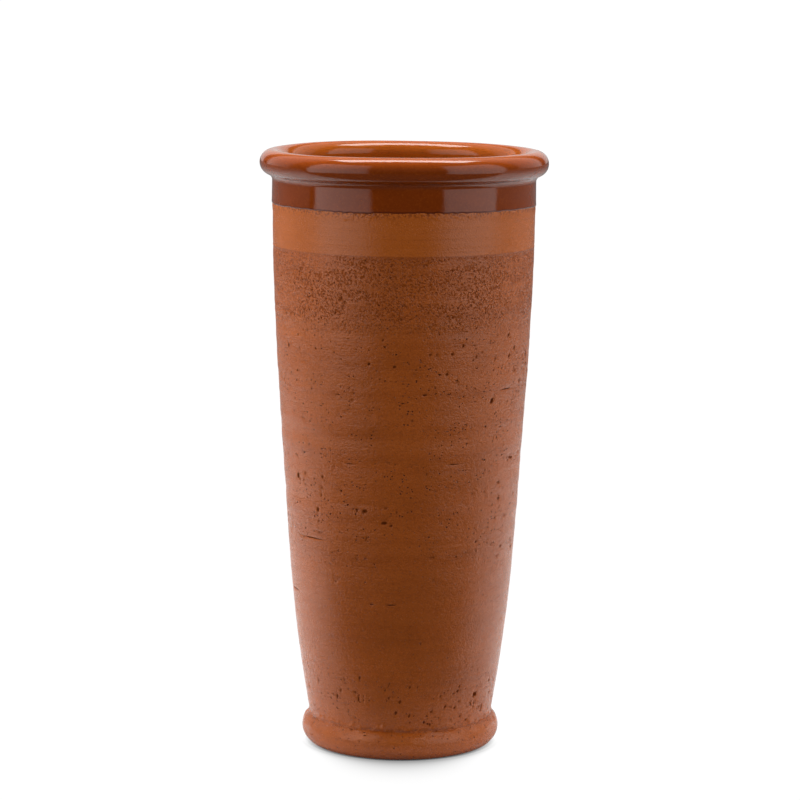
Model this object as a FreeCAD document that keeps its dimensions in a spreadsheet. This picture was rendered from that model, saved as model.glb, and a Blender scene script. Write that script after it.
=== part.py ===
import FreeCAD, Part
import math
import os

import Sketcher

# A tall terracotta pot, turned about the Z axis and standing on Z = 0. A thrown wall stands on a
# slab base, with a collar and a rolled rim luted above it and a bead of clay wrapped round the
# seam at the bottom. One coat of glaze is poured inside, and one is dipped over the rim.
# Lengths are in millimetres. A radius is measured from the Z axis and a height from the ground.

DIMENSIONS = {
    # slab base
    "floor_radius": 37.5,         # side of the raised plug, and inside of the wall at the floor
    "floor_height": 10.5,         # top of the plug
    "flange_radius": 44.0,        # edge of the slab
    "seat_height": 4.5,           # top of the flange, where the wall stands
    "recess_radius": 30.0,
    "recess_depth": 1.5,          # hollow under the slab
    "rest_radius": 33.0,          # inner edge of the ring that the pot stands on
    # foot bead
    "foot_flat_radius": 45.7,     # outer edge of the bead's flat underside
    "foot_bead_radius": 8.3,      # radius of the bead's section
    "waist_radius": 45.9,
    "waist_height": 14.5,         # crease between the bead and the wall
    # wall
    "belly_radius": 56.6,
    "belly_height": 99.0,         # the wall rises in a straight line from here
    "shoulder_radius": 61.7,
    "shoulder_height": 172.0,     # to here
    "wall_thickness": 5.8,        # measured level, on the straight stretch
    # collar
    "collar_radius": 65.6,
    "collar_height": 252.5,       # joint between the wall and the collar
    "bore_radius": 59.8,          # inside of the collar and of the rim roll
    "neck_radius": 65.8,          # outside of the collar under the rim roll
    # rim roll
    "rim_seat_height": 284.0,     # joint between the collar and the rim roll
    "cove_radius": 3.6,           # radius of the hollow under the roll
    "roll_radius": 6.1,           # radius of the roll's section
    "roll_height": 293.5,         # height of the middle of the roll
    # keyed joints: a ridge on the lower piece stands in a groove in the upper one
    "key_radius": 62.7,
    "key_half_width": 1.2,
    "key_depth": 2.0,
    # glaze
    "glaze_thickness": 0.4,
    "dip_height": 272.5,          # lower edge of the dipped coat, outside
    "pour_height": 279.0,         # upper edge of the poured coat, inside
}

AXIS = "axis"        # stands for a radius of zero
GROUND = "ground"    # stands for a height of zero

# How a sketch names its own axes and the ends of an edge
X_AXIS, Z_AXIS = -1, -2
START, END, CENTRE = 1, 2, 3
ORIGIN = (X_AXIS, START)

doc = FreeCAD.newDocument("TerracottaPot")


def make_sheet():
    """Put the driving dimensions in a spreadsheet, with each name as an alias."""
    sheet = doc.addObject("Spreadsheet::Sheet", "Dimensions")
    for row, (name, value) in enumerate(DIMENSIONS.items(), start=1):
        sheet.set("A%d" % row, name.replace("_", " "))
        sheet.set("B%d" % row, str(value))
        sheet.setAlias("B%d" % row, name)
    doc.recompute()


def length_of(text):
    """The length that a sum such as "bore_radius + roll_radius" stands for."""
    total = 0.0
    sign = 1.0
    for word in text.split():
        if word in ("+", "-"):
            sign = 1.0 if word == "+" else -1.0
        elif word not in (AXIS, GROUND):
            total += sign * DIMENSIONS[word]
    return total


def formula(text):
    """The same sum as a formula that reads the spreadsheet."""
    return " ".join(word if word in ("+", "-") else "Dimensions." + word for word in text.split())


def point(radius, height):
    return FreeCAD.Vector(length_of(radius), length_of(height), 0)


class TurnedPiece:
    """A body turned about Z from one closed outline, drawn edge by edge in its half section.

    A corner is a radius and a height, each a sum of dimension names. Where tangency settles a
    point, it has no corner. A smooth edge leaves the one before it without a bend.
    """

    def __init__(self, name, *corner):
        self.name = name
        self.body = doc.addObject("PartDesign::Body", name)
        self.body.Label = name
        self.sketch = self.body.newObject("Sketcher::SketchObject", name + "_section")
        planes = self.body.Origin.OriginFeatures
        section_plane = [plane for plane in planes if plane.Role == "XZ_Plane"][0]
        self.sketch.AttachmentSupport = [(section_plane, "")]
        self.sketch.MapMode = "FlatFace"
        self.corners = [corner]
        self.edges = []
        self.here = point(*corner)

    def constrain(self, kind, *items):
        return self.sketch.addConstraint(Sketcher.Constraint(kind, *items))

    def drive(self, constraint, text):
        """Bind a constraint to the spreadsheet."""
        self.sketch.setExpression("Constraints[%d]" % constraint, formula(text))

    def fix(self, edge, end, radius, height):
        """Bind a point of an edge to its radius and its height."""
        if radius == AXIS:
            self.constrain("PointOnObject", edge, end, Z_AXIS)
        else:
            self.drive(self.constrain("DistanceX", *ORIGIN, edge, end, length_of(radius)), radius)
        if height == GROUND:
            self.constrain("PointOnObject", edge, end, X_AXIS)
        else:
            self.drive(self.constrain("DistanceY", *ORIGIN, edge, end, length_of(height)), height)

    def add(self, geometry, ends, corner, target, smooth):
        edge = self.sketch.addGeometry(geometry, False)
        self.edges.append((edge, ends, smooth))
        self.corners.append(corner)
        self.here = target
        return edge

    def line(self, *corner, smooth=False):
        """A straight edge to a corner."""
        target = point(*corner)
        return self.add(Part.LineSegment(self.here, target), (START, END), corner, target, smooth)

    def upright(self, target, *corner, smooth=False):
        """An upright edge to a point, or to the corner there."""
        segment = Part.LineSegment(self.here, target)
        edge = self.add(segment, (START, END), corner or None, target, smooth)
        self.constrain("Vertical", edge)

    def arc(self, centre, target, *corner, clockwise=False, smooth=False):
        """A round edge to a point, or to the corner there.

        A sketch keeps every arc anticlockwise, so a clockwise one is drawn from its far end.
        """
        ends = (self.here, target)
        order = (START, END)
        if clockwise:
            ends = ends[::-1]
            order = (END, START)
        first, last = [math.atan2(end.y - centre.y, end.x - centre.x) for end in ends]
        if last < first:
            last += 2 * math.pi
        circle = Part.Circle(centre, FreeCAD.Vector(0, 0, 1), target.distanceToPoint(centre))
        geometry = Part.ArcOfCircle(circle, first, last)
        return self.add(geometry, order, corner or None, target, smooth)

    def set_radius(self, edge, radius):
        self.drive(self.constrain("Radius", edge, length_of(radius)), radius)

    def close(self):
        """Join the edges at their corners and turn the outline about Z."""
        if self.here != point(*self.corners[0]):
            self.line(*self.corners[0])
        previous, previous_ends, _ = self.edges[-1]
        for (edge, ends, smooth), corner in zip(self.edges, self.corners):
            kind = "Tangent" if smooth else "Coincident"
            self.constrain(kind, previous, previous_ends[1], edge, ends[0])
            if corner is not None:
                self.fix(edge, ends[0], *corner)
            previous, previous_ends = edge, ends
        turned = self.body.newObject("PartDesign::Revolution", self.name + "_turned")
        turned.Profile = self.sketch
        turned.ReferenceAxis = (self.sketch, ["V_Axis"])
        turned.Angle = 360
        self.body.Placement = FreeCAD.Placement()
        return self.body


def touching_centre(touch, ahead, end):
    """Centre of the circle through end that touches the line from touch to ahead, at touch."""
    along = ahead - touch
    side = FreeCAD.Vector(-along.y, along.x, 0).normalize()
    chord = end - touch
    return touch + side * (chord.Length ** 2 / (2 * chord.dot(side)))


def left_centre(start, end, radius):
    """Centre of the circle of this radius through both points, on the left of the way there."""
    half = (end - start) * 0.5
    side = FreeCAD.Vector(-half.y, half.x, 0).normalize()
    return start + half + side * math.sqrt(radius ** 2 - half.Length ** 2)


def face_corners(foot, inset, top):
    """Corners of a face of the wall, set in from the outer face by the lengths in inset."""
    belly = ("belly_radius" + inset, "belly_height")
    shoulder = ("shoulder_radius" + inset, "shoulder_height")
    return foot, belly, shoulder, top


def rise(piece, *face):
    """A face of the wall upwards: an arc from the foot, a straight stretch, an arc to the top."""
    corners = face_corners(*face)
    foot, belly, shoulder, top = [point(*corner) for corner in corners]
    piece.arc(touching_centre(belly, shoulder, foot), belly, *corners[1])
    piece.line(*corners[2], smooth=True)
    piece.arc(touching_centre(shoulder, belly, top), top, *corners[3], smooth=True)


def fall(piece, *face):
    """A face of the wall downwards, from the top to the foot."""
    corners = face_corners(*face)
    foot, belly, shoulder, top = [point(*corner) for corner in corners]
    piece.arc(touching_centre(shoulder, belly, top), shoulder, *corners[2], clockwise=True)
    piece.line(*corners[1], smooth=True)
    centre = touching_centre(belly, shoulder, foot)
    piece.arc(centre, foot, *corners[0], clockwise=True, smooth=True)


def keyed_edge(piece, seat, outwards):
    """Across a joint and over its ridge: the ridge and its groove have the same corners."""
    sides = ["key_radius - key_half_width", "key_radius + key_half_width"]
    if not outwards:
        sides.reverse()
    piece.line(sides[0], seat)
    piece.line("key_radius", seat + " + key_depth")
    piece.line(sides[1], seat)


ROLL_MIDDLE = ("bore_radius + roll_radius", "roll_height")


def cove_points(coat):
    """Centre of the cove, where it meets the roll, and where it meets the neck."""
    roll = point(*ROLL_MIDDLE)
    across = length_of("neck_radius + cove_radius")
    reach = length_of("roll_radius + cove_radius")
    drop = math.sqrt(reach ** 2 - (across - roll.x) ** 2)
    centre = FreeCAD.Vector(across, roll.y - drop, 0)
    radius = length_of("cove_radius" + coat.replace("+", "-"))
    on_roll = centre + (roll - centre) * (radius / reach)
    on_neck = centre - FreeCAD.Vector(radius, 0, 0)
    return centre, on_roll, on_neck


def over_the_rim(piece, foot):
    """The clay face of the rim outwards from the bore: roll, cove, then down the neck to foot."""
    centre, on_roll, on_neck = cove_points("")
    roll = piece.arc(point(*ROLL_MIDDLE), on_roll, clockwise=True)
    piece.fix(roll, CENTRE, *ROLL_MIDDLE)
    cove = piece.arc(centre, on_neck, smooth=True)
    piece.set_radius(cove, "cove_radius")
    piece.upright(point("neck_radius", foot), "neck_radius", foot, smooth=True)


def back_over_the_rim(piece, coat):
    """The same face inwards, up the neck and over the roll to the bore, under a coat of glaze."""
    centre, on_roll, on_neck = cove_points(coat)
    piece.upright(on_neck)
    cove = piece.arc(centre, on_roll, clockwise=True, smooth=True)
    piece.set_radius(cove, "cove_radius" + coat.replace("+", "-"))
    inner = ("bore_radius" + coat.replace("+", "-"), "roll_height")
    roll = piece.arc(point(*ROLL_MIDDLE), point(*inner), *inner, smooth=True)
    piece.fix(roll, CENTRE, *ROLL_MIDDLE)


def make_base_disc():
    """A slab with a hollow underside. Its raised plug is the floor, and the wall stands round it."""
    piece = TurnedPiece("base_disc", AXIS, "recess_depth")
    piece.line("recess_radius", "recess_depth")
    piece.line("rest_radius", GROUND)
    piece.line("flange_radius", GROUND)
    piece.line("flange_radius", "seat_height")
    piece.line("floor_radius", "seat_height")
    piece.line("floor_radius", "floor_height")
    piece.line(AXIS, "floor_height")
    return piece.close()


def make_foot_roll():
    """A bead of clay wrapped round the seam between the slab and the wall."""
    piece = TurnedPiece("foot_roll", "flange_radius", GROUND)
    piece.line("foot_flat_radius", GROUND)
    waist = point("waist_radius", "waist_height")
    centre = left_centre(piece.here, waist, length_of("foot_bead_radius"))
    bead = piece.arc(centre, waist, "waist_radius", "waist_height")
    piece.set_radius(bead, "foot_bead_radius")
    piece.line("flange_radius", "seat_height")
    return piece.close()


def make_wall():
    """The thrown wall, from the slab to the collar, with a ridge along its top edge."""
    piece = TurnedPiece("wall", "flange_radius", "seat_height")
    waist = ("waist_radius", "waist_height")
    piece.line(*waist)
    rise(piece, waist, "", ("collar_radius", "collar_height"))
    keyed_edge(piece, "collar_height", outwards=False)
    piece.line("bore_radius", "collar_height")
    floor = ("floor_radius", "floor_height")
    fall(piece, floor, " - wall_thickness", ("bore_radius", "collar_height"))
    piece.line("floor_radius", "seat_height")
    return piece.close()


def make_collar():
    """The collar, which fits over the wall's ridge and carries one for the rim roll."""
    piece = TurnedPiece("collar", "bore_radius", "collar_height")
    keyed_edge(piece, "collar_height", outwards=True)
    piece.line("collar_radius", "collar_height")
    piece.line("neck_radius", "dip_height")
    piece.line("neck_radius", "rim_seat_height")
    keyed_edge(piece, "rim_seat_height", outwards=False)
    piece.line("bore_radius", "rim_seat_height")
    return piece.close()


def make_rim_roll():
    """The rolled rim, with a cove under it that runs into the collar."""
    piece = TurnedPiece("rim_roll", "bore_radius", "rim_seat_height")
    piece.line("bore_radius", "roll_height")
    over_the_rim(piece, "rim_seat_height")
    keyed_edge(piece, "rim_seat_height", outwards=False)
    return piece.close()


def make_rim_glaze():
    """The dipped coat: up the neck, over the roll and a little way down inside."""
    coat = " + glaze_thickness"
    piece = TurnedPiece("rim_glaze", "neck_radius" + coat, "dip_height")
    back_over_the_rim(piece, coat)
    piece.line("bore_radius - glaze_thickness", "pour_height")
    piece.line("bore_radius", "pour_height")
    piece.line("bore_radius", "roll_height")
    over_the_rim(piece, "dip_height")
    return piece.close()


def make_lining_glaze():
    """The poured coat: over the floor and up the inside as far as the dipped one."""
    piece = TurnedPiece("lining_glaze", AXIS, "floor_height")
    floor = ("floor_radius", "floor_height")
    piece.line(*floor)
    rise(piece, floor, " - wall_thickness", ("bore_radius", "collar_height"))
    piece.line("bore_radius", "pour_height")
    piece.line("bore_radius - glaze_thickness", "pour_height")
    inner_top = ("bore_radius - glaze_thickness", "collar_height")
    piece.line(*inner_top)
    inner_floor = ("floor_radius - glaze_thickness", "floor_height + glaze_thickness")
    fall(piece, inner_floor, " - wall_thickness - glaze_thickness", inner_top)
    piece.line(AXIS, "floor_height + glaze_thickness")
    return piece.close()


def check(bodies):
    """Stop if any object failed, or if a piece isn't one sound solid."""
    for item in doc.Objects:
        if "Invalid" in item.State or "Error" in item.State:
            raise RuntimeError("%s is %s" % (item.Name, item.State))
    for body in bodies:
        if body.Shape.isNull() or not body.Shape.isValid() or len(body.Shape.Solids) != 1:
            raise RuntimeError("%s is not one sound solid" % body.Label)


def export(bodies):
    os.makedirs("parts", exist_ok=True)
    for body in bodies:
        body.Shape.exportStep("parts/%s.step" % body.Label)
        print("%s: %.1f cubic centimetres" % (body.Label, body.Shape.Volume / 1000))


make_sheet()
pot = [
    make_base_disc(),
    make_foot_roll(),
    make_wall(),
    make_collar(),
    make_rim_roll(),
    make_rim_glaze(),
    make_lining_glaze(),
]
doc.recompute()
check(pot)
export(pot)
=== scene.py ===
import math

import bpy
import numpy as np
from mathutils import Matrix, Vector


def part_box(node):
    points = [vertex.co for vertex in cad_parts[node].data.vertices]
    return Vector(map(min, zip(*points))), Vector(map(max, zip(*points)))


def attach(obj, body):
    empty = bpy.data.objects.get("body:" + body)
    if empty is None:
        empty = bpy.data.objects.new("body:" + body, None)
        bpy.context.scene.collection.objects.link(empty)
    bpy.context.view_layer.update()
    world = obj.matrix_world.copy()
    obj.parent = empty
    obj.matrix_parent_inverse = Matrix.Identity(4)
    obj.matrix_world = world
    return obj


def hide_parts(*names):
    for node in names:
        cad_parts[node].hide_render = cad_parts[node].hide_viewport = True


# A tall terracotta pot: bare turned clay below, a dipped amber glaze over the rim, a poured glaze
# inside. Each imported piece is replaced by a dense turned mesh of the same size, with the marks of
# the potter's hand in it. Sections are worked out in millimetres and meshes made in metres.
# The front of the pot faces -Y. An angle is in degrees, measured from the front towards +X.

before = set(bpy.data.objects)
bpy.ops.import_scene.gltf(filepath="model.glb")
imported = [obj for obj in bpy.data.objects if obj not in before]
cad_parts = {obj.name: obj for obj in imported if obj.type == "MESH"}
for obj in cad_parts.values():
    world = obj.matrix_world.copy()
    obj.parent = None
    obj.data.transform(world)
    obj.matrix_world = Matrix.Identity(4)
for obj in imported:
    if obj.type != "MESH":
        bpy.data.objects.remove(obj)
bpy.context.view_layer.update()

MM = 0.001
SEED = 11

# Points on the wall's outer face: radius and height
WAIST = (45.9, 14.5)
BELLY = (56.6, 99.0)
SHOULDER = (61.7, 172.0)
COLLAR = (65.6, 252.5)
# The floor's edge, listed the same way, then thicknesses, radii and heights
FLOOR = (37.5, 10.5)
WALL_THICKNESS = 5.8
SEAT_HEIGHT = 4.5
GLAZE = 0.4
ROLL_RADIUS = 6.1
COVE_RADIUS = 3.6
DIP_HEIGHT = 272.5
POUR_HEIGHT = 279.0
BEAD_RADIUS = 8.3
FOOT_REACH = 4.4
RECESS_RADIUS = 30.0
RECESS_DEPTH = 1.5
REST_RADIUS = 33.0


def box_mm(node):
    """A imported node's lowest and highest corners in millimetres."""
    low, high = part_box(node)
    return np.array(low) / MM, np.array(high) / MM


RIM_SEAT = box_mm("rim_roll")[0][2]
ROLL_HEIGHT = box_mm("rim_roll")[1][2] - ROLL_RADIUS
ROLL_MIDDLE = box_mm("rim_roll")[1][0] - ROLL_RADIUS
BORE_RADIUS = ROLL_MIDDLE - ROLL_RADIUS
NECK_RADIUS = box_mm("collar")[1][0]
FLANGE_RADIUS = box_mm("base_disc")[1][0]


# ---------------------------------------------------------------- the shape of the sections

def bulge(start, end, slope, heights):
    """Radii on the circle through start and end that leaves start with this slope."""
    along = np.array([slope, 1.0]) / math.hypot(slope, 1.0)
    side = np.array([-along[1], along[0]])
    chord = np.subtract(end, start)
    centre = np.array(start) + side * (chord @ chord) / (2 * (chord @ side))
    radius = math.dist(centre, start)
    return centre[0] + np.sqrt(radius ** 2 - (heights - centre[1]) ** 2)


def wall_face(heights, foot, top, inset):
    """Radii of a face of the wall: an arc from the foot, a straight stretch, an arc to the top."""
    heights = np.asarray(heights, float)
    belly = (BELLY[0] - inset, BELLY[1])
    shoulder = (SHOULDER[0] - inset, SHOULDER[1])
    slope = (shoulder[0] - belly[0]) / (shoulder[1] - belly[1])
    straight = belly[0] + (heights - belly[1]) * slope
    lower = bulge(belly, foot, slope, np.minimum(heights, belly[1]))
    upper = bulge(shoulder, top, slope, np.clip(heights, shoulder[1], top[1]))
    radii = np.where(heights < belly[1], lower, straight)
    return np.where(heights > shoulder[1], upper, radii)


def outer_face(heights):
    """Radii of the bare clay outside, from the waist to the neck."""
    heights = np.asarray(heights, float)
    wall = wall_face(np.minimum(heights, COLLAR[1]), WAIST, COLLAR, 0.0)
    rise = np.clip((heights - COLLAR[1]) / (DIP_HEIGHT - COLLAR[1]), 0, 1)
    return np.where(heights > COLLAR[1], COLLAR[0] + (NECK_RADIUS - COLLAR[0]) * rise, wall)


def inner_face(heights, coat=0.0):
    """Radii of the inside, from the floor to the bore."""
    heights = np.asarray(heights, float)
    foot = (FLOOR[0] - coat, FLOOR[1] + coat)
    top = (BORE_RADIUS - coat, COLLAR[1])
    wall = wall_face(np.minimum(heights, COLLAR[1]), foot, top, WALL_THICKNESS + coat)
    return np.where(heights > COLLAR[1], BORE_RADIUS - coat, wall)


def cove_centre():
    """Centre of the cove between the neck and the roll."""
    across = NECK_RADIUS + COVE_RADIUS
    reach = ROLL_RADIUS + COVE_RADIUS
    return across, ROLL_HEIGHT - math.sqrt(reach ** 2 - (across - ROLL_MIDDLE) ** 2)


def rim_points(coat, cove_rows, roll_rows):
    """The rim's face from the neck round the cove and over the roll to the bore."""
    across, height = cove_centre()
    turn = math.atan2(ROLL_HEIGHT - height, ROLL_MIDDLE - across)
    cove = np.linspace(math.pi, turn, cove_rows)
    radius = COVE_RADIUS - coat
    under = np.column_stack([across + radius * np.cos(cove), height + radius * np.sin(cove)])
    roll = np.linspace(turn - math.pi, math.pi, roll_rows)[1:]
    radius = ROLL_RADIUS + coat
    over = np.column_stack([ROLL_MIDDLE + radius * np.cos(roll), ROLL_HEIGHT + radius * np.sin(roll)])
    return np.concatenate([under, over])


# ---------------------------------------------------------------- noise and marks

def hashed(x, y, z, seed):
    """A repeatable number from -1 to 1 for each lattice point."""
    mixed = (x * 73856093) ^ (y * 19349663) ^ (z * 83492791) ^ (seed * 2654435761)
    mixed = mixed & 0xFFFFFFFF
    mixed = ((mixed ^ (mixed >> 15)) * 2246822519) & 0xFFFFFFFF
    mixed = ((mixed ^ (mixed >> 13)) * 3266489917) & 0xFFFFFFFF
    return (mixed ^ (mixed >> 16)) / 2147483647.5 - 1.0


def noise(x, y, z, seed):
    """Smooth noise from about -1 to 1, with features one unit across."""
    cells = [np.floor(value).astype(np.int64) for value in (x, y, z)]
    parts = [value - cell for value, cell in zip((x, y, z), cells)]
    blend = [part ** 3 * (part * (part * 6 - 15) + 10) for part in parts]
    total = 0.0
    for corner in range(8):
        step = [(corner >> axis) & 1 for axis in range(3)]
        weight = 1.0
        for axis in range(3):
            weight = weight * (blend[axis] if step[axis] else 1 - blend[axis])
        total = total + weight * hashed(*[cell + move for cell, move in zip(cells, step)], seed)
    return total


class Surface:
    """A grid on the pot: row by row, segment by segment, in millimetres.

    Its mark is a number at each point that the material reads."""

    def __init__(self, radius, height, segments):
        self.angle = np.linspace(0, 2 * math.pi, segments, endpoint=False)
        shape = (len(radius), segments)
        self.radius = np.array(np.broadcast_to(np.reshape(radius, (len(radius), -1)), shape))
        self.height = np.array(np.broadcast_to(np.reshape(height, (len(height), -1)), shape))
        self.mark = np.zeros(shape)

    def grain(self, size, seed, flat=1.0):
        """Noise with features of this size, drawn out level by flat."""
        x = self.radius * np.cos(self.angle) / (size * flat)
        y = self.radius * np.sin(self.angle) / (size * flat)
        return noise(x, y, self.height / size, SEED + seed)

    def normals(self):
        """The section's outward direction at each point, for rows that run anticlockwise."""
        across = np.roll(self.radius, -1, 0) - np.roll(self.radius, 1, 0)
        upward = np.roll(self.height, -1, 0) - np.roll(self.height, 1, 0)
        length = np.maximum(np.hypot(across, upward), 1e-9)
        return upward / length, -across / length

    def push(self, amount):
        """Move every point out along the section by this amount."""
        across, upward = self.normals()
        self.radius += across * amount
        self.height += upward * amount


def dents(surface, rows, places, depth):
    """Depths of round or drawn-out dents: places are angle, height, half length, half height."""
    heights = surface.height[rows, 0]
    result = np.zeros((len(heights), len(surface.angle)))
    for (angle, height, long, tall), deep in zip(places, depth):
        near = np.abs(heights - height) < 2.2 * tall
        if not near.any():
            continue
        radius = np.interp(height, heights, surface.radius[rows, 0])
        turn = (surface.angle - angle + math.pi) % (2 * math.pi) - math.pi
        beside = np.abs(turn * radius) < 2.2 * long
        off = ((turn[beside] * radius / long) ** 2)[None, :]
        off = off + (((heights[near] - height) / tall) ** 2)[:, None]
        block = np.ix_(near, beside)
        result[block] = np.maximum(result[block], deep * np.exp(-off * 1.4))
    return result


def settled(radius, height, angle):
    """The slight sag of the fired pot: never outside its true size."""
    lift = np.clip(height / ROLL_HEIGHT, 0, 1)
    oval = 0.22 * lift * (np.cos(2 * (angle - 0.6)) - 1) + 0.10 * (np.cos(3 * angle + 1.0) - 1)
    wave = 0.16 * (np.sin(2 * angle + 0.9) - 1) + 0.08 * (np.sin(5 * angle + 2.0) - 1)
    top = np.clip((height - DIP_HEIGHT) / (ROLL_HEIGHT - DIP_HEIGHT), 0, 1)
    near_axis = np.clip(radius / FLOOR[0], 0, 1)
    return radius + oval * near_axis, height + wave * top


# ---------------------------------------------------------------- meshes

FRONT = -math.pi / 2


def turned(name, surface, node, closed=True):
    """A closed mesh from a surface's rows. A first or last row on the axis becomes one point."""
    radius, height = settled(surface.radius, surface.height, surface.angle)
    rows = len(radius)
    poles = [row for row in (0, rows - 1) if not closed and surface.radius[row].max() == 0.0]
    x = radius * np.cos(surface.angle + FRONT)
    y = radius * np.sin(surface.angle + FRONT)
    points = np.stack([x, y, height], axis=-1) * MM
    vertices = []
    marks = []
    first = []
    for row in range(rows):
        first.append(sum(len(part) for part in vertices))
        kept = slice(0, 1) if row in poles else slice(None)
        vertices.append(points[row, kept])
        marks.append(surface.mark[row, kept])
    ring = np.arange(len(surface.angle))
    after = np.roll(ring, -1)
    faces = []
    for row in range(rows if closed else rows - 1):
        below, above = row, (row + 1) % rows
        if below in poles:
            faces += [(first[below], first[above] + b, first[above] + a) for a, b in zip(ring, after)]
        elif above in poles:
            faces += [(first[below] + a, first[below] + b, first[above]) for a, b in zip(ring, after)]
        else:
            low, high = first[below], first[above]
            quads = np.column_stack([low + ring, low + after, high + after, high + ring])
            faces += quads.tolist()
    mesh = bpy.data.meshes.new(name)
    mesh.from_pydata(np.concatenate(vertices).tolist(), [], faces)
    mesh.attributes.new("mark", "FLOAT", "POINT").data.foreach_set("value", np.concatenate(marks))
    mesh.polygons.foreach_set("use_smooth", [True] * len(mesh.polygons))
    mesh.set_sharp_from_angle(angle=math.radians(50))
    mesh.update()
    piece = bpy.data.objects.new(name, mesh)
    bpy.context.collection.objects.link(piece)
    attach(piece, "root")
    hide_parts(node)
    return piece


# ---------------------------------------------------------------- the potter's marks

# Scratches and drags that a grit left, listed one by one: angle, height, half length, half height and
# depth. Angles are in degrees and the rest in millimetres.
SCRATCHES = [
    (-50, 110, 12, 0.4, 0.4),
    (-75, 80, 8, 0.4, 0.45),
    (-15, 80, 1.5, 0.4, 0.45),
    (-5, 80, 3, 0.4, 0.5),
    (55, 185, 5, 0.4, 0.5),
    (-25, 150, 3, 0.4, 0.4),
    (25, 150, 4, 0.4, 0.4),
    (120, 130, 9, 0.4, 0.45),
    (-150, 90, 11, 0.4, 0.45),
    (170, 170, 5, 0.4, 0.45),
]
# Holes where a grain of lime or grit fell out, listed the same way
HOLES = [
    (45, 180, 1.0, 1.0, 0.9),
    (75, 200, 0.9, 1.2, 0.9),
    (60, 205, 0.8, 0.7, 0.6),
    (20, 195, 0.7, 0.6, 0.5),
    (10, 185, 1.2, 0.6, 0.5),
    (-15, 200, 0.8, 0.7, 0.6),
    (-60, 140, 1.1, 0.9, 0.8),
    (55, 130, 0.9, 0.8, 0.6),
    (-45, 125, 0.8, 0.7, 0.6),
    (-5, 120, 0.7, 0.7, 0.6),
    (40, 110, 0.7, 0.7, 0.6),
    (60, 105, 0.8, 0.7, 0.6),
    (50, 30, 1.0, 0.7, 0.7),
    (65, 35, 0.8, 0.7, 0.6),
    (35, 25, 0.7, 0.6, 0.5),
    (60, 20, 0.7, 0.6, 0.6),
    (40, 20, 0.7, 0.6, 0.5),
    (0, 30, 1.0, 0.5, 0.4),
    (-25, 30, 0.7, 0.5, 0.4),
    (-40, 30, 0.7, 0.7, 0.6),
    (125, 150, 1.0, 0.9, 0.8),
    (-130, 115, 0.9, 0.8, 0.7),
    (165, 60, 0.9, 0.8, 0.7),
]
# The crumb of clay left in the crease over the foot: angle and size
CRUMB = (-10, 1.3)
# The wall's surface is torn from here up to the collar
TORN_HEIGHT = 212


def placed(marks):
    """The places and the depths of marks listed in degrees."""
    places = [(math.radians(angle), height, long, tall) for angle, height, long, tall, _ in marks]
    return places, [mark[4] for mark in marks]


def scatter(random, count, low, high, long, tall):
    """Random places: angle, height, and half sizes within the ranges given."""
    places = []
    for _ in range(count):
        angle = random.uniform(0, 2 * math.pi)
        height = random.uniform(low, high)
        places.append((angle, height, random.uniform(*long), random.uniform(*tall)))
    return places


def clustered(random, clusters, each, low, high, long, tall):
    """Places in level trains, as a trapped grit skips along the turning wall."""
    places = []
    for _ in range(clusters):
        angle = random.uniform(0, 2 * math.pi)
        height = random.uniform(low, high)
        for _ in range(random.integers(2, each + 3)):
            angle += random.exponential(0.04) + 0.01
            lift = height + random.normal(0, 0.9)
            places.append((angle, lift, random.uniform(*long), random.uniform(*tall)))
    return places


def turning_marks(surface, rows):
    """Level ridges and hollows that fingers and ribs left, with a slow wander."""
    height = surface.height[rows]
    coarse = surface.grain(6.5, 1, flat=22)[rows]
    fine = surface.grain(2.2, 2, flat=30)[rows]
    wander = surface.grain(26, 3, flat=1.6)[rows]
    lumps = surface.grain(4.5, 4, flat=2.2)[rows]
    ridged = between(height, 92, TORN_HEIGHT, 30)
    rough = between(height, TORN_HEIGHT, COLLAR[1], 5)
    smooth = between(height, COLLAR[1], DIP_HEIGHT + 30, 3)
    result = coarse * (0.05 + 0.13 * ridged + 0.08 * rough) * (1 - 0.85 * smooth)
    result += fine * (0.02 + 0.06 * ridged + 0.05 * rough + 0.015 * smooth)
    result += lumps * (0.03 + 0.05 * ridged + 0.05 * rough) * (1 - smooth)
    return result + wander * 0.09 * (1 - 0.6 * smooth)


# ---------------------------------------------------------------- the pieces

def keyed_joint(height, outer, inner):
    """The rows across a joint from outside to inside, over its ridge."""
    middle, half, rise = 62.7, 1.2, 2.0
    radii = [outer, middle + half, middle, middle - half, inner]
    heights = [height, height, height + rise, height, height]
    return list(zip(radii, heights))


def section(*parts):
    """One section from runs of points, each a list of radius and height."""
    points = np.concatenate([np.reshape(part, (-1, 2)) for part in parts])
    return points[:, 0], points[:, 1]


def face_run(curve, start, end, step, *options):
    """Points on a face from one height to another, about a step apart."""
    heights = np.linspace(start, end, max(2, int(abs(end - start) / step) + 1))
    return np.column_stack([curve(heights, *options), heights])


def wall_rows():
    """Heights of the wall's rows: closer at the foot, in the torn band and at each listed mark."""
    foot_top = WAIST[1] + 6
    heights = [np.arange(WAIST[1], foot_top, 0.6), np.arange(foot_top, TORN_HEIGHT, 1.9)]
    heights.append(np.linspace(TORN_HEIGHT, COLLAR[1], 37))
    for scratch in SCRATCHES:
        heights.append(scratch[1] + np.array([-0.8, -0.4, 0.0, 0.4, 0.8]))
    heights.append(np.array([float(hole[1]) for hole in HOLES]))
    merged = np.unique(np.concatenate(heights))
    kept = [merged[0]]
    for height in merged[1:]:
        if height - kept[-1] > 0.3:
            kept.append(height)
    kept[-1] = COLLAR[1]
    return np.array(kept)


def between(value, low, high, soft):
    """1 between low and high, fading to 0 over soft on each side."""
    up = np.clip((value - low) / soft + 0.5, 0, 1)
    down = np.clip((high - value) / soft + 0.5, 0, 1)
    return up * down


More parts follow.
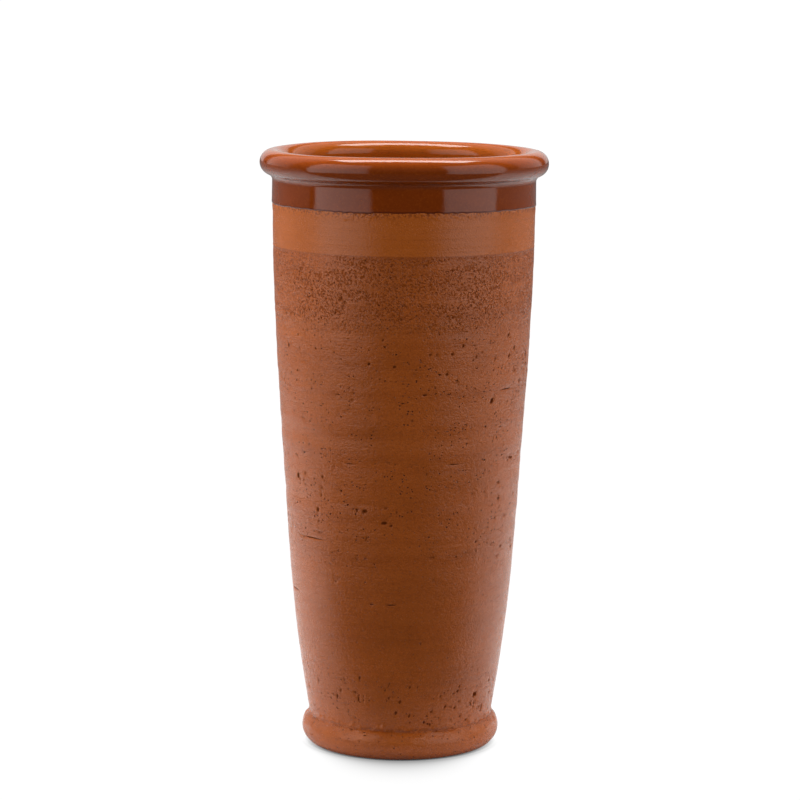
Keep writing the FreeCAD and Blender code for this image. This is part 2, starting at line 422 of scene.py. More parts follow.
def wall_hollows(surface, rows):
    """Depth of the pits, trains of pits, scratches and holes at each point of the wall."""
    random = np.random.default_rng(SEED)
    pits = scatter(random, 260, 22, 100, (0.6, 1.0), (0.6, 0.9))
    pits += scatter(random, 620, 100, 214, (0.6, 1.1), (0.6, 1.0))
    pits += scatter(random, 900, 214, 250, (0.6, 1.1), (0.7, 1.4))
    trains = clustered(random, 75, 6, 96, 214, (0.7, 2.0), (0.5, 0.8))
    trains += clustered(random, 20, 4, 18, 40, (0.5, 1.1), (0.45, 0.8))
    trains += scatter(random, 130, 16, 32, (0.45, 0.9), (0.4, 0.75))
    pit_depths = random.uniform(0.08, 0.32, len(pits))
    train_depths = random.uniform(0.10, 0.45, len(trains))
    deeper = np.random.default_rng(SEED + 7)
    coarse = scatter(deeper, 70, 17, 42, (0.5, 0.9), (0.6, 0.9))
    coarse += scatter(deeper, 60, 186, 212, (0.5, 0.9), (0.6, 0.9))
    coarse_depths = deeper.uniform(0.30, 0.60, len(coarse))
    hollow = dents(surface, rows, pits, pit_depths)
    for places, depths in ((trains, train_depths), (coarse, coarse_depths)):
        hollow = np.maximum(hollow, dents(surface, rows, places, depths))
    for listed in (SCRATCHES, HOLES):
        hollow = np.maximum(hollow, dents(surface, rows, *placed(listed)))
    return hollow


def make_wall():
    heights = wall_rows()
    outer = np.column_stack([outer_face(heights), heights])
    surface = Surface(
        *section(
            [(FLANGE_RADIUS, SEAT_HEIGHT)],
            outer,
            keyed_joint(COLLAR[1], COLLAR[0] - 0.01, BORE_RADIUS),
            face_run(inner_face, COLLAR[1] - 4, FLOOR[1], 20),
            [(FLOOR[0], SEAT_HEIGHT)],
        ),
        460,
    )
    rows = slice(1, 1 + len(outer))
    marks = turning_marks(surface, rows)
    hollow = wall_hollows(surface, rows)
    turn = surface.angle
    ragged = WAIST[1] + 1.9 + 1.8 * noise(np.cos(turn) * 9, np.sin(turn) * 9, 0 * turn, SEED + 41)
    ragged += 0.8 * noise(np.cos(turn) * 30, np.sin(turn) * 30, 0 * turn, SEED + 42)
    smear = np.clip((ragged - surface.height[rows]) / 0.7, 0, 1)
    crumb = [(math.radians(CRUMB[0]), WAIST[1] + 2.2, CRUMB[1], CRUMB[1])]
    marks += 0.55 * smear + dents(surface, rows, crumb, [1.0])
    amount = np.zeros_like(surface.radius)
    marked = between(surface.height[rows], WAIST[1] - 0.3, COLLAR[1] - 0.3, 0.6)
    amount[rows] = (marks - hollow) * marked
    surface.push(amount)
    # The dents' depths go to the mark, and the clay material paints shade into them
    surface.mark[rows] = hollow
    return turned("wall", surface, "wall")


def make_collar():
    outer = face_run(outer_face, COLLAR[1], DIP_HEIGHT, 0.5)
    surface = Surface(
        *section(
            outer,
            [(NECK_RADIUS, RIM_SEAT)],
            keyed_joint(RIM_SEAT, NECK_RADIUS - 0.01, BORE_RADIUS),
            face_run(inner_face, RIM_SEAT - 4, COLLAR[1] + 0.5, 12),
            keyed_joint(COLLAR[1], COLLAR[0] - 0.01, BORE_RADIUS)[::-1],
        ),
        560,
    )
    rows = slice(0, len(outer))
    ribs = surface.grain(1.15, 8, flat=60)[rows] * 0.035
    line = np.exp(-((surface.height[rows] - COLLAR[1] - 0.9) / 0.7) ** 2)
    amount = np.zeros_like(surface.radius)
    marks = turning_marks(surface, rows) + ribs - 0.05 * line
    amount[rows] = marks * between(surface.height[rows], COLLAR[1] + 0.1, DIP_HEIGHT + 5, 0.8)
    surface.push(amount)
    return turned("collar", surface, "collar")


def make_rim_roll():
    surface = Surface(
        *section(
            [(NECK_RADIUS, RIM_SEAT)],
            rim_points(0.0, 8, 40),
            [(BORE_RADIUS, ROLL_HEIGHT - 4)],
            keyed_joint(RIM_SEAT, NECK_RADIUS - 0.01, BORE_RADIUS)[::-1],
        ),
        400,
    )
    return turned("rim_roll", surface, "rim_roll")


def bead_face(rows):
    """The bead's outer face: an arc from the floor out, up and in to the wall's waist."""
    flat = box_mm("foot_roll")[1][0] - FOOT_REACH
    half = np.array([WAIST[0] - flat, WAIST[1]]) / 2
    side = np.array([-half[1], half[0]]) / np.linalg.norm(half)
    centre = np.array([flat, 0]) + half + side * math.sqrt(BEAD_RADIUS ** 2 - half @ half)
    low = math.atan2(-centre[1], flat - centre[0])
    high = math.atan2(WAIST[1] - centre[1], WAIST[0] - centre[0])
    turn = np.linspace(low, high, rows)
    return centre + BEAD_RADIUS * np.column_stack([np.cos(turn), np.sin(turn)])


def make_foot_roll():
    random = np.random.default_rng(SEED + 1)
    bead = bead_face(60)
    surface = Surface(*section([(FLANGE_RADIUS, 0)], bead, [(FLANGE_RADIUS, SEAT_HEIGHT)]), 560)
    rows = slice(1, 1 + len(bead))
    up = np.linspace(0, 1, len(bead))[:, None]
    upper = np.clip((up - 0.5) / 0.35, 0, 1)
    smear = surface.grain(7, 11, flat=2.4)[rows] * 0.45 + surface.grain(2.4, 12, flat=2.0)[rows] * 0.30
    finger = surface.grain(14, 13, flat=2)[rows] * 0.22 - 0.16
    drawn = surface.grain(1.6, 14, flat=9)[rows] * 0.07
    places = scatter(random, 46, 12.2, 14.4, (0.5, 1.5), (0.3, 0.6))
    places += scatter(random, 30, 2.0, 12.0, (0.4, 0.8), (0.3, 0.6))
    hollow = dents(surface, rows, places, random.uniform(0.05, 0.34, len(places)))
    amount = np.zeros_like(surface.radius)
    amount[rows] = (smear * upper + finger + drawn - hollow) * np.clip(up * 6, 0, 1)
    surface.push(amount)
    # The dents' depths go to the mark, and the clay material paints shade into them
    surface.mark[rows] = hollow
    surface.height = np.maximum(surface.height, 0)
    return turned("foot_roll", surface, "foot_roll")


def make_base_disc():
    under = [(radius, RECESS_DEPTH) for radius in np.linspace(0, RECESS_RADIUS, 44)]
    rest = [(RECESS_RADIUS + 1, RECESS_DEPTH - 0.2), (RECESS_RADIUS + 2.2, 0.35), (REST_RADIUS, 0)]
    rest += [(FLANGE_RADIUS - 0.4, 0), (FLANGE_RADIUS, 0.4)]
    inside = [(FLANGE_RADIUS, SEAT_HEIGHT), (FLOOR[0], SEAT_HEIGHT), FLOOR]
    inside += [(FLOOR[0] / 2, FLOOR[1]), (0, FLOOR[1])]
    surface = Surface(*section(under, rest, inside), 300)
    rows = slice(0, len(under))
    rake = np.sin(surface.radius[rows] * 2.1 + surface.angle) * 0.12
    relief = rake + surface.grain(9, 17)[rows] * 0.18 + surface.grain(2.5, 18)[rows] * 0.05
    surface.height[rows] += relief * np.clip(surface.radius[rows] / 3, 0, 1)
    return turned("base_disc", surface, "base_disc", closed=False)


def make_rim_glaze():
    """The dipped coat: a thin ragged skirt, a thick rounded edge, then over the rim and inside."""
    skirt_rows, edge_rows, neck_rows, cove_rows, roll_rows = 11, 8, 24, 14, 61
    edge_height = 0.7
    rim = rim_points(GLAZE, cove_rows, roll_rows + 1)
    inner_rim = rim_points(0.0, 6, 24)[::-1]
    sizes = skirt_rows + edge_rows + neck_rows + len(rim) + 2 + len(inner_rim) + 1
    surface = Surface(np.zeros(sizes), np.zeros(sizes), 620)
    turn = surface.angle
    line = DIP_HEIGHT + 0.3 + 0.32 * np.sin(turn + 2.2) + 0.22 * np.sin(3 * turn + 0.4)
    line += 0.14 * np.sin(7 * turn + 1.1)
    line += noise(np.cos(turn) * 28, np.sin(turn) * 28, 0 * turn, SEED + 31) * 0.25
    hem = line - 3.6 + 0.5 * noise(np.cos(turn) * 40, np.sin(turn) * 40, 0 * turn, SEED + 32)
    points = []
    for part in np.linspace(0, 1, skirt_rows):
        points.append((0.02 + 0.08 * math.sqrt(part), hem + (line - hem) * part))
    for part in np.linspace(0, 1, edge_rows + 1)[1:]:
        bulge_out = GLAZE * 1.25 * math.sin(part * math.pi / 2)
        offset = 0.10 + (bulge_out - 0.10) * min(1, part * 3)
        points.append((offset, line + edge_height * (1 - math.cos(part * math.pi / 2))))
    for part in np.linspace(0, 1, neck_rows + 1)[1:]:
        offset = GLAZE * (1 + 0.25 * math.exp(-part * 8))
        points.append((offset, line + edge_height + (rim[0][1] - line - edge_height) * part))
    outside = [(NECK_RADIUS + offset + 0 * line, height) for offset, height in points]
    path = outside + [tuple(point) for point in rim]
    path += [(BORE_RADIUS - GLAZE, POUR_HEIGHT), (BORE_RADIUS, POUR_HEIGHT)]
    path += [tuple(point) for point in inner_rim] + [(NECK_RADIUS - 0.15, line)]
    surface.radius = np.stack([radius + 0 * line for radius, _ in path])
    surface.height = np.stack([height + 0 * line for _, height in path])
    skirt = slice(0, skirt_rows + 2)
    lumps = surface.grain(1.3, 23, flat=0.9)[skirt] + 0.6 * surface.grain(0.8, 24)[skirt]
    rise = np.linspace(0, 1, skirt_rows + 2)[:, None]
    coat = slice(skirt_rows + 2, skirt_rows + edge_rows + neck_rows + len(rim))
    ripple = surface.grain(11, 21, flat=2.5)[coat] * 0.06 + surface.grain(3.2, 22, flat=2)[coat] * 0.015
    amount = np.zeros_like(surface.radius)
    amount[skirt] = np.maximum(lumps, -0.4) * 0.17 * np.sin(rise * 2.6)
    amount[coat] = ripple - 0.07
    surface.push(amount)
    surface.mark[:skirt_rows] = np.linspace(1.0, 0.8, skirt_rows)[:, None]
    surface.mark[skirt_rows : skirt_rows + 2] = 0.8
    surface.mark[skirt_rows + 2 : skirt_rows + edge_rows] = 0.5
    turn_over = np.linspace(0, 1, roll_rows)[:, None]
    over = slice(len(outside) + cove_rows, len(outside) + cove_rows + roll_rows)
    surface.mark[over] = -np.clip((turn_over - 0.70) / 0.16, 0, 1)
    surface.mark[over.stop : over.stop + 2] = -1.0
    surface.mark[-1] = 1.0
    return turned("rim_glaze", surface, "rim_glaze")


def make_lining_glaze():
    corner = 5.0
    start = FLOOR[1] + GLAZE + corner
    low, high = FLOOR[0] - GLAZE - corner, float(inner_face(start, GLAZE))
    floor = [(radius, FLOOR[1] + GLAZE) for radius in np.linspace(0, low, 40)]
    bend = np.linspace(0, math.pi / 2, 11)[1:-1]
    across = low + (high - low) * np.sin(bend)
    round_corner = np.column_stack([across, FLOOR[1] + GLAZE + corner * (1 - np.cos(bend))])
    inner = face_run(inner_face, start, POUR_HEIGHT, 2.0, GLAZE)
    outer = face_run(inner_face, POUR_HEIGHT, FLOOR[1], 20)
    surface = Surface(*section(floor, round_corner, inner, outer, [(0, FLOOR[1])]), 480)
    rows = slice(0, len(floor) + len(round_corner) + len(inner))
    rings = surface.grain(6, 25, flat=25)[rows] * 0.10 + surface.grain(22, 26, flat=2)[rows] * 0.12
    edge = np.clip((POUR_HEIGHT - surface.height[rows]) / 3, 0, 1)
    spiral = np.sin(surface.radius[rows] * 1.15 - surface.angle) * 0.25 + 0.25
    on_floor = np.clip((16 - surface.height[rows]) / 4, 0, 1)
    steady = np.clip(surface.radius[rows] / 6, 0, 1)
    amount = np.zeros_like(surface.radius)
    amount[rows] = (np.abs(rings) * (1 - on_floor) + spiral * on_floor) * steady * edge
    surface.mark[:] = -1.0
    on_wall = surface.height > start
    surface.radius -= amount * on_wall
    surface.height += amount * ~on_wall
    return turned("lining_glaze", surface, "lining_glaze", closed=False)


# ---------------------------------------------------------------- materials

class Shader:
    """A material of one principled shader, with short names for the nodes that feed it.

    Sizes are in millimetres: a pattern's features are about level wide and upright tall."""

    def __init__(self, name):
        self.material = bpy.data.materials.new(name)
        self.material.use_nodes = True
        self.nodes = self.material.node_tree.nodes
        self.links = self.material.node_tree.links
        self.principled = self.nodes["Principled BSDF"]
        self.place = self.nodes.new("ShaderNodeTexCoord").outputs["Object"]
        self.height = self.add("ShaderNodeSeparateXYZ", "Z", Vector=self.place)
        mark = self.nodes.new("ShaderNodeAttribute")
        mark.attribute_name = "mark"
        self.mark = mark.outputs["Fac"]

    def add(self, kind, output, **inputs):
        node = self.nodes.new(kind)
        for key, value in inputs.items():
            self.feed(node.inputs[key], value)
        return node.outputs[output]

    def feed(self, socket, value):
        if isinstance(value, bpy.types.NodeSocket):
            self.links.new(value, socket)
        else:
            socket.default_value = value

    def math(self, operation, first, second=0.0):
        node = self.nodes.new("ShaderNodeMath")
        node.operation = operation
        self.feed(node.inputs[0], first)
        self.feed(node.inputs[1], second)
        return node.outputs[0]

    def times(self, first, second):
        return self.math("MULTIPLY", first, second)

    def either(self, first, second):
        return self.math("MAXIMUM", first, second)

    def sum(self, *terms):
        """The sum of (weight, value) terms."""
        total = None
        for weight, value in terms:
            part = self.times(value, weight)
            total = part if total is None else self.math("ADD", total, part)
        return total

    def stretch(self, level, upright, lean=0.0, offset=(0, 0, 0)):
        """Coordinates in features, level and upright. A lean tips them over along the wall."""
        scale = (1 / (level * MM), 1 / (level * MM), 1 / (upright * MM))
        tipped = self.add("ShaderNodeMapping", "Vector", Vector=self.place, Rotation=(lean, lean, 0))
        return self.add("ShaderNodeMapping", "Vector", Vector=tipped, Scale=scale, Location=offset)

    def noise(self, level, upright, detail, lean=0.0):
        place = self.stretch(level, upright, lean)
        return self.add("ShaderNodeTexNoise", "Fac", Vector=place, Scale=1.0, Detail=detail, Roughness=0.55)

    def ramp(self, value, low, high, bottom=0.0, top=1.0):
        """A soft step: bottom below low, top above high. The limits may run either way."""
        node = self.nodes.new("ShaderNodeMapRange")
        node.interpolation_type = "SMOOTHSTEP"
        for key, number in (("From Min", low), ("From Max", high), ("To Min", bottom), ("To Max", top)):
            node.inputs[key].default_value = number
        self.feed(node.inputs["Value"], value)
        return node.outputs["Result"]

    def band(self, low, high, soft):
        """1 between two heights in millimetres, fading over soft."""
        up = self.ramp(self.height, (low - soft) * MM, (low + soft) * MM)
        down = self.ramp(self.height, (high + soft) * MM, (high - soft) * MM)
        return self.times(up, down)

    def specks(self, level, upright, radius, share, seed=0.0, lean=0.0):
        """Round specks, one in each cell at most: radius in cells, share of cells that have one."""
        node = self.nodes.new("ShaderNodeTexVoronoi")
        node.inputs["Scale"].default_value = 1.0
        offset = (seed * 17.3, seed * 7.9, seed * 11.1)
        self.feed(node.inputs["Vector"], self.stretch(level, upright, lean, offset))
        chance = self.add("ShaderNodeSeparateColor", "Red", Color=node.outputs["Color"])
        chosen = self.ramp(chance, 1 - share, 1.02 - share)
        return self.times(self.ramp(node.outputs["Distance"], radius, radius * 0.35), chosen)

    def mix(self, share, first, second):
        node = self.nodes.new("ShaderNodeMix")
        node.data_type = "RGBA"
        colours = [socket for socket in node.inputs if socket.type == "RGBA"]
        self.feed(node.inputs[0], share)
        for socket, colour in zip(colours, (first, second)):
            if isinstance(colour, tuple):
                colour = (*colour, 1.0)
            self.feed(socket, colour)
        return [socket for socket in node.outputs if socket.type == "RGBA"][0]

    def bump(self, height_mm):
        """Relief from a height in millimetres."""
        normal = self.add("ShaderNodeBump", "Normal", Height=height_mm, Distance=MM, Strength=1.0)
        self.feed(self.principled.inputs["Normal"], normal)

    def surface(self, **inputs):
        for key, value in inputs.items():
            self.feed(self.principled.inputs[key.replace("_", " ")], value)


CLAY_DEEP = (0.455, 0.098, 0.0085)
CLAY_WARM = (0.520, 0.113, 0.0110)
CLAY_PALE = (0.620, 0.160, 0.0260)
CLAY_FINE = (0.570, 0.132, 0.0115)
CLAY_DARK = (0.290, 0.058, 0.0060)
# Painted shade: the dark that the pits, tears and dents are painted with, standing in for the shadow inside
# them
CLAY_PIT_SHADE = (0.100, 0.019, 0.0030)


def clay_material(name, zones=False, pits=1.0, roughness=0.25):
    """Bare fired clay: level streaks, grain, and pits where grit was dragged out.

    The wall has zones: pits near its foot and over the belly, a torn band, then the ribbed collar."""
    clay = Shader(name)
    mottle = clay.noise(34, 24, detail=2)
    streak = clay.noise(50, 0.9, detail=2)
    layer = clay.noise(300, 6, detail=2)
    leather = clay.noise(1.5, 1.2, detail=2)
    grain = clay.noise(0.7, 0.6, detail=1)
    patch = clay.ramp(clay.noise(19, 8, detail=2), 0.42, 0.58)
    small = clay.specks(1.9, 1.7, 0.30, 0.55 * pits, seed=1.0)
    large = clay.specks(4.4, 4.0, 0.150, 0.40 * pits, seed=2.0)
    dash = clay.specks(4.4, 1.3, 0.26, 0.16 * pits, seed=3.0)
    lip_highlight = clay.specks(4.2, 3.4, 0.12, 0.12, seed=6.0)
    colour = clay.mix(clay.ramp(mottle, 0.30, 0.70), CLAY_DEEP, CLAY_WARM)
    colour = clay.mix(clay.ramp(layer, 0.42, 0.72, 0.0, 0.16), colour, CLAY_PALE)
    colour = clay.mix(clay.ramp(layer, 0.48, 0.30, 0.0, 0.16), colour, CLAY_DARK)
    cut = []
    hollowed = 0.0
    if zones:
        busy = clay.math("ADD", clay.band(104, 214, 20), clay.times(clay.band(16, 44, 8), 0.6))
        torn_low = clay.ramp(clay.height, 0.210, 0.222)
        torn_band = clay.times(torn_low, clay.ramp(clay.height, 0.2521, 0.2512))
        fine_band = clay.band(252.4, 275, 0.5)
        calm = clay.math("SUBTRACT", 1.0, fine_band)
        active = clay.math("ADD", clay.times(patch, clay.math("ADD", busy, 0.12)), 0.08)
        small = clay.times(small, clay.times(active, calm))
        dash = clay.times(dash, clay.times(active, calm))
        large = clay.times(large, clay.times(clay.math("ADD", active, 0.20), calm))
        leather = clay.math("ADD", clay.times(leather, calm), clay.times(fine_band, 0.5))
        lip_highlight = clay.times(lip_highlight, clay.times(active, calm))
        spread = clay.times(torn_band, clay.ramp(clay.noise(30, 7, detail=2), 0.34, 0.52, 0.35, 1.0))
        worm = clay.times(clay.ramp(clay.noise(0.95, 1.15, detail=1, lean=0.5), 0.53, 0.39), spread)
        torn = clay.times(clay.specks(2.1, 2.4, 0.28, 0.50, seed=4.0, lean=0.35), spread)
        colour = clay.mix(clay.times(fine_band, 0.85), colour, CLAY_FINE)
        # Painted shade: the torn grooves and the groove along the collar's lower edge are darkened
        line = clay.band(251.6, 252.5, 0.35)
        shadowed = clay.either(clay.times(worm, 0.92), clay.times(line, 0.45))
        colour = clay.mix(shadowed, colour, CLAY_DARK)
        dark = clay.either(clay.times(torn, 0.85), clay.either(small, clay.either(large, dash)))
        cut = [(-0.20, torn), (-0.14, worm)]
        hollowed = clay.times(worm, 0.5)
    else:
        dark = clay.either(clay.either(small, large), dash)
    # Painted shade: the dents' depth, carried in the mark, darkens the clay as well
    dark = clay.either(dark, clay.ramp(clay.mark, 0.08, 0.32))
    colour = clay.mix(clay.ramp(leather, 0.52, 0.75, 0.0, 0.34), colour, CLAY_PALE)
    colour = clay.mix(clay.ramp(leather, 0.46, 0.24, 0.0, 0.40), colour, CLAY_DARK)
    colour = clay.mix(clay.ramp(streak, 0.54, 0.80, 0.0, 0.20), colour, CLAY_PALE)
    colour = clay.mix(clay.ramp(streak, 0.42, 0.24, 0.0, 0.26), colour, CLAY_DARK)
    colour = clay.mix(clay.ramp(grain, 0.50, 0.85, 0.0, 0.42), colour, CLAY_PALE)
    colour = clay.mix(clay.ramp(grain, 0.47, 0.15, 0.0, 0.60), colour, CLAY_DARK)
    # Painted shade: a ragged dark band in the crease where the foot's bead meets the wall
    ragged = clay.ramp(clay.noise(3.5, 1.6, detail=2), 0.42, 0.60)
    crease_shade = clay.times(clay.band(13.7, 15.6, 0.9), ragged)
    # Painted highlight: the bead's upper face is lightened in patches, where the top light catches it
    highlight_patches = clay.ramp(clay.noise(16, 5, detail=2), 0.36, 0.62)
    bead_highlight = clay.times(clay.band(8.5, 12.8, 2.2), highlight_patches)
    colour = clay.mix(clay.times(bead_highlight, 0.40), colour, CLAY_PALE)
    # Painted shade: the clay darkens over its lowest few millimetres, where it meets the floor
    colour = clay.mix(clay.ramp(clay.height, 0.0035, 0.0005, 0.0, 0.45), colour, CLAY_DARK)
    colour = clay.mix(clay.times(crease_shade, 0.70), colour, CLAY_DARK)
    # Painted highlight: the raised lips by the pits are lightened, besides their bump
    colour = clay.mix(clay.times(lip_highlight, 0.45), colour, CLAY_PALE)
    # Painted shade: the pits, tears and dents are darkened towards the shadow colour
    colour = clay.mix(clay.times(dark, 0.92), colour, CLAY_PIT_SHADE)
    rough = clay.sum((0.08, mottle), (0.12, grain), (0.75, dark), (1.0, roughness - 0.10))
    # Painted shade: the specular level falls in the pits, tears and dents, so they stay dark under the
    # softboxes
    shine = clay.ramp(clay.either(dark, hollowed), 0.0, 0.6, 0.5, 0.05)
    clay.surface(Base_Color=colour, Roughness=rough, IOR=1.55, Specular_IOR_Level=shine)
    pitted = [(-0.22, small), (-0.45, large), (-0.20, dash)]
    relief = [(0.07, streak), (0.24, leather), (0.15, grain), (0.10, lip_highlight)]
    clay.bump(clay.sum(*pitted, *relief, *cut))
    return clay.material


GLAZE_DARK = (0.240, 0.0390, 0.0026)
GLAZE_AMBER = (0.38, 0.0640, 0.0045)
GLAZE_THIN = (0.54, 0.1150, 0.0130)
GLAZE_INSIDE = (0.48, 0.1080, 0.0085)
GLAZE_EDGE = (0.13, 0.0190, 0.0020)


def glaze_material(name):
    """A clear amber glaze over red clay: dark where it pooled, pale where it ran thin.

    A mark of 1 is the thin skirt under the dip line, a half is the thick edge and -1 the inside."""
    glaze = Shader(name)
    cloud = glaze.noise(24, 10, detail=2)
    ripple = glaze.noise(4.5, 4.0, detail=1)
    pinholes = glaze.specks(4.5, 4.5, 0.09, 0.12, seed=5.0)
    under = glaze.noise(1.1, 1.1, detail=2)
    roll = glaze.ramp(glaze.height, 0.2925, 0.2975)
    crest = glaze.ramp(glaze.height, 0.2968, 0.2998)
    poured = glaze.ramp(glaze.mark, -0.1, -0.9)
    skirt = glaze.ramp(glaze.mark, 0.55, 0.75)
    edge = glaze.times(glaze.ramp(glaze.mark, 0.1, 0.45), glaze.ramp(glaze.mark, 0.75, 0.55))
    colour = glaze.mix(roll, GLAZE_DARK, GLAZE_AMBER)
    colour = glaze.mix(glaze.times(crest, 0.8), colour, GLAZE_THIN)
    colour = glaze.mix(poured, colour, GLAZE_INSIDE)
    colour = glaze.mix(glaze.ramp(cloud, 0.35, 0.75, 0.0, 0.25), colour, GLAZE_AMBER)
    colour = glaze.mix(glaze.ramp(under, 0.48, 0.85, 0.0, 0.26), colour, GLAZE_THIN)
    colour = glaze.mix(glaze.ramp(under, 0.46, 0.20, 0.0, 0.34), colour, GLAZE_EDGE)
    colour = glaze.mix(glaze.times(edge, 0.85), colour, GLAZE_EDGE)
    colour = glaze.mix(skirt, colour, CLAY_FINE)
    nearness = glaze.ramp(glaze.mark, 1.0, 0.8)
    thinning = glaze.times(skirt, glaze.math("ADD", nearness, 0.25))
    spots = glaze.times(glaze.ramp(under, 0.54, 0.40), thinning)
    colour = glaze.mix(glaze.times(spots, 0.75), colour, CLAY_DARK)
    colour = glaze.mix(glaze.times(pinholes, 0.7), colour, CLAY_PALE)
    rough = glaze.sum((0.04, cloud), (0.20, skirt), (0.30, pinholes), (1.0, 0.05))
    glaze.surface(Base_Color=colour, Roughness=rough, IOR=1.52)
    fuzz = glaze.times(skirt, glaze.noise(0.9, 1.1, detail=1))
    glaze.bump(glaze.sum((0.030, ripple), (0.024, under), (-0.12, pinholes), (0.20, fuzz)))
    return glaze.material


# ---------------------------------------------------------------- studio

class Wiring:
    """Short names for the value nodes of a light, world or stage material."""

    def __init__(self, tree):
        self.nodes, self.links = tree.nodes, tree.links

    def output(self, kind, name):
        return self.nodes.new(kind).outputs[name]

    def axis(self, vector, letter):
        split = self.nodes.new("ShaderNodeSeparateXYZ")
        self.links.new(vector, split.inputs[0])
        return split.outputs[letter]

    def length(self, vector):
        node = self.nodes.new("ShaderNodeVectorMath")
        node.operation = "LENGTH"
        self.links.new(vector, node.inputs[0])
        return node.outputs["Value"]

    def ramp(self, value, low, high, bottom=0.0, top=1.0, kind="SMOOTHSTEP"):
        node = self.nodes.new("ShaderNodeMapRange")
        node.interpolation_type = kind
        for key, number in (("From Min", low), ("From Max", high), ("To Min", bottom), ("To Max", top)):
            node.inputs[key].default_value = number
        self.links.new(value, node.inputs["Value"])
        return node.outputs["Result"]

    def math(self, operation, first, second):
        node = self.nodes.new("ShaderNodeMath")
        node.operation = operation
        for socket, value in zip(node.inputs, (first, second)):
            if isinstance(value, bpy.types.NodeSocket):
                self.links.new(value, socket)
            else:
                socket.default_value = value
        return node.outputs[0]

    def choose(self, share, first, second):
        """first where share is 0, second where it is 1."""
        kept = self.math("MULTIPLY", self.math("SUBTRACT", 1.0, share), first)
        return self.math("ADD", kept, self.math("MULTIPLY", share, second))


def panel(name, width, height, place, target, glossy=True):
    """A rectangular area light of radiance 1."""
    light = bpy.data.lights.new(name, "AREA")
    light.shape = "RECTANGLE"
    light.size, light.size_y = width, height
    light.energy = math.pi * width * height
    lamp = bpy.data.objects.new(name, light)
    bpy.context.collection.objects.link(lamp)
    lamp.location = place
    lamp.rotation_euler = (Vector(target) - lamp.location).to_track_quat("-Z", "Y").to_euler()
    lamp.visible_glossy = glossy
    return light


def grade(light, first, last, soft):
    """Radiance from first at one upright edge to last at the other, fading out at the rim."""
    light.use_nodes = True
    wires = Wiring(light.node_tree)
    place = wires.output("ShaderNodeNewGeometry", "Parametric")
    across, upward = wires.axis(place, "X"), wires.axis(place, "Y")
    value = wires.ramp(across, 0.0, 1.0, first, last, "LINEAR")
    for along in (across, upward):
        edges = wires.math("MULTIPLY", wires.ramp(along, 0, soft), wires.ramp(along, 1, 1 - soft))
        value = wires.math("MULTIPLY", value, edges)
    wires.links.new(value, light.node_tree.nodes["Emission"].inputs["Strength"])


def softbox(name, front, rear, lift, radiance, glossy=True, distance=0.75, middle=0.2):
    """An upright softbox between two angles round the pot and two angles of height."""
    low, high = (middle + distance * math.tan(math.radians(angle)) for angle in lift)
    angle = math.radians(front + rear) / 2
    place = (distance * math.sin(angle), -distance * math.cos(angle), (low + high) / 2)
    width = 2 * distance * math.tan(math.radians(abs(rear - front)) / 2)
    light = panel(name, width, high - low, place, (0, 0, place[2]), glossy)
    ends = radiance if front > 0 else radiance[::-1]
    grade(light, ends[0], ends[1], 0.08)


def overhead(name, back, height, width, depth, radiance):
    """A bank of light over the pot and behind it."""
    light = panel(name, width, depth, (0, back, height), (0, 0, 0.3))
    grade(light, radiance, radiance, 0.04)


def make_world(side, back):
    """White to the eye. To the pot, a dark room with pale walls beside and behind it.

    The limits are how far back a direction points: 0.2 is just behind the side, 1 is straight back."""
    world = bpy.data.worlds.new("studio")
    bpy.context.scene.world = world
    world.use_nodes = True
    wires = Wiring(world.node_tree)
    toward_back = wires.axis(wires.output("ShaderNodeTexCoord", "Generated"), "Y")
    glow = wires.ramp(toward_back, 0.18, 0.74, side * 0.6, side * 1.5, "LINEAR")
    wall = wires.math("MULTIPLY", wires.ramp(toward_back, 0.18, 0.26), wires.ramp(toward_back, 0.79, 0.75))
    sweep = wires.ramp(toward_back, 0.87, 0.91, 0.0, back)
    seen = wires.output("ShaderNodeLightPath", "Is Camera Ray")
    background = world.node_tree.nodes["Background"]
    room = wires.math("ADD", wires.math("ADD", wires.math("MULTIPLY", glow, wall), sweep), 0.05)
    wires.links.new(wires.choose(seen, room, 1.0), background.inputs["Strength"])
    background.inputs["Color"].default_value = (1, 1, 1, 1)


# Y where the pale table ends in front of the pot, and the radius where the foot's shade starts
TABLE_FRONT = -0.07
SHADE_RADIUS = 0.050


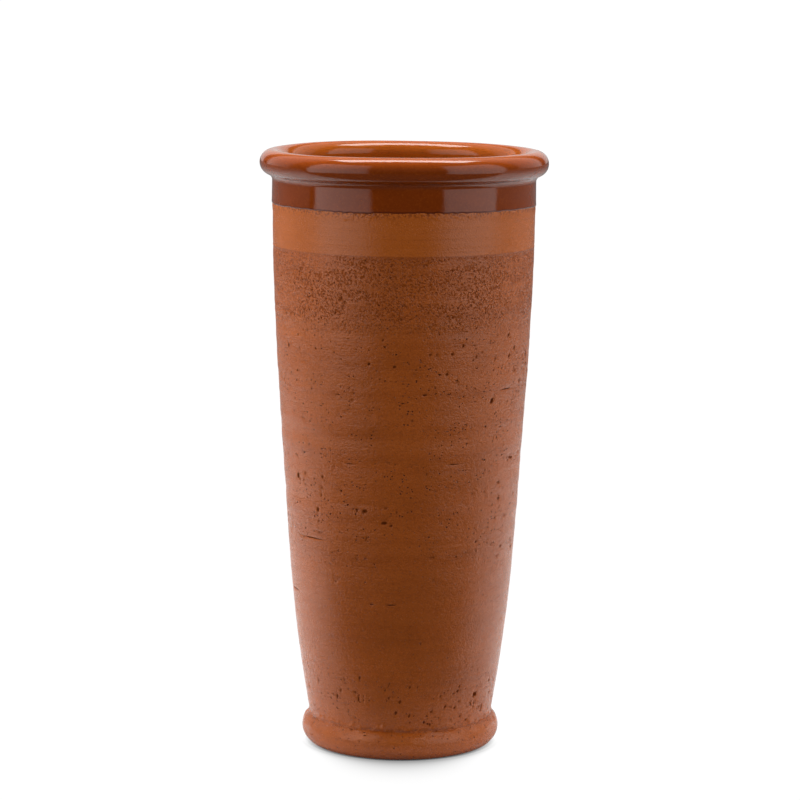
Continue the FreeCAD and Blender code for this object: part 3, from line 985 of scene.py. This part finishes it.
def make_floor():
    """A wide white floor. To the eye it is white but for the shade close round the foot.

    To the pot it is a white table that ends in front of it, in a dark room."""
    bpy.ops.mesh.primitive_circle_add(vertices=96, radius=60, fill_type="NGON")
    floor = bpy.context.object
    floor.name = "floor"
    material = bpy.data.materials.new("pale_floor")
    material.use_nodes = True
    wires = Wiring(material.node_tree)
    shader = wires.nodes["Principled BSDF"]
    for key, value in (("Roughness", 0.9), ("Specular IOR Level", 0.1)):
        shader.inputs[key].default_value = value
    place = wires.output("ShaderNodeNewGeometry", "Position")
    ahead = wires.math("MULTIPLY", wires.axis(place, "Y"), -1.0)
    table = wires.ramp(ahead, -TABLE_FRONT - 0.03, -TABLE_FRONT + 0.03, 0.82, 0.06)
    seen = wires.output("ShaderNodeLightPath", "Is Camera Ray")
    contact = wires.nodes.new("ShaderNodeAmbientOcclusion")
    contact.samples = 12
    contact.inputs["Distance"].default_value = 0.0035
    gap = wires.ramp(contact.outputs["AO"], 0.15, 0.65, 0.92, 0.0)
    radius = wires.length(place)
    facing = wires.math("MAXIMUM", wires.math("DIVIDE", ahead, radius), 0.0)
    reach = wires.math("ADD", wires.math("MULTIPLY", wires.math("POWER", facing, 6.0), 0.012), 0.001)
    away = wires.math("MAXIMUM", wires.math("SUBTRACT", radius, SHADE_RADIUS), 0.0)
    fall = wires.math("POWER", math.e, wires.math("DIVIDE", away, wires.math("MULTIPLY", reach, -1.0)))
    depth = wires.math("MULTIPLY", wires.math("POWER", facing, 1.5), 0.65)
    shade = wires.math("SUBTRACT", 1.02, wires.math("MULTIPLY", fall, depth))
    deep = wires.math("MULTIPLY", gap, wires.math("ADD", wires.math("MULTIPLY", facing, 0.75), 0.25))
    white = wires.math("MULTIPLY", wires.math("SUBTRACT", 1.0, deep), shade)
    albedo = wires.math("MULTIPLY", wires.math("SUBTRACT", 1.0, seen), table)
    colour = wires.nodes.new("ShaderNodeCombineColor")
    for socket in colour.inputs:
        wires.links.new(albedo, socket)
    wires.links.new(colour.outputs[0], shader.inputs["Base Color"])
    wires.links.new(wires.math("MULTIPLY", seen, white), shader.inputs["Emission Strength"])
    shader.inputs["Emission Color"].default_value = (1, 1, 1, 1)
    floor.data.materials.append(material)


def make_camera():
    """A long lens a little above the rim, looking slightly down on the pot."""
    distance, height, down, roll = 1.6, 0.40628, 8.2685, 0.45
    data = bpy.data.cameras.new("camera")
    data.sensor_width = 36
    data.lens = 144.78
    camera = bpy.data.objects.new("camera", data)
    bpy.context.collection.objects.link(camera)
    camera.location = (-0.00112, -distance, height)
    pitch = Matrix.Rotation(math.radians(90 - down), 3, "X")
    camera.rotation_euler = (pitch @ Matrix.Rotation(math.radians(roll), 3, "Z")).to_euler()
    bpy.context.scene.camera = camera


bpy.context.scene.view_settings.view_transform = "Standard"

make_camera()
wall_clay = clay_material("turned_clay", zones=True)
foot_clay = clay_material("smeared_clay", pits=0.4)
base_clay = clay_material("raked_clay", pits=0.6, roughness=0.45)
amber = glaze_material("amber_glaze_coat")
finishes = [
    (make_wall(), wall_clay),
    (make_collar(), wall_clay),
    (make_rim_roll(), wall_clay),
    (make_foot_roll(), foot_clay),
    (make_base_disc(), base_clay),
    (make_rim_glaze(), amber),
    (make_lining_glaze(), amber),
]
for piece, material in finishes:
    piece.data.materials.append(material)

softbox("left_softbox", -26.5, -82, (-14.5, 50), (0.62, 1.50))
softbox("right_softbox", 31.5, 86, (-14.5, 50), (0.85, 1.20))
softbox("front_fill", -25, 31, (0, 55), (0.42, 0.42), glossy=False)
softbox("left_wing", -86, -126, (-6, 60), (2.7, 2.7), glossy=False)
softbox("right_wing", 90, 130, (-6, 60), (1.6, 1.6), glossy=False)
overhead("top_softbox", 0.2, 1.5, 1.3, 0.5, 8.0)
make_world(0.45, 0.6)
make_floor()
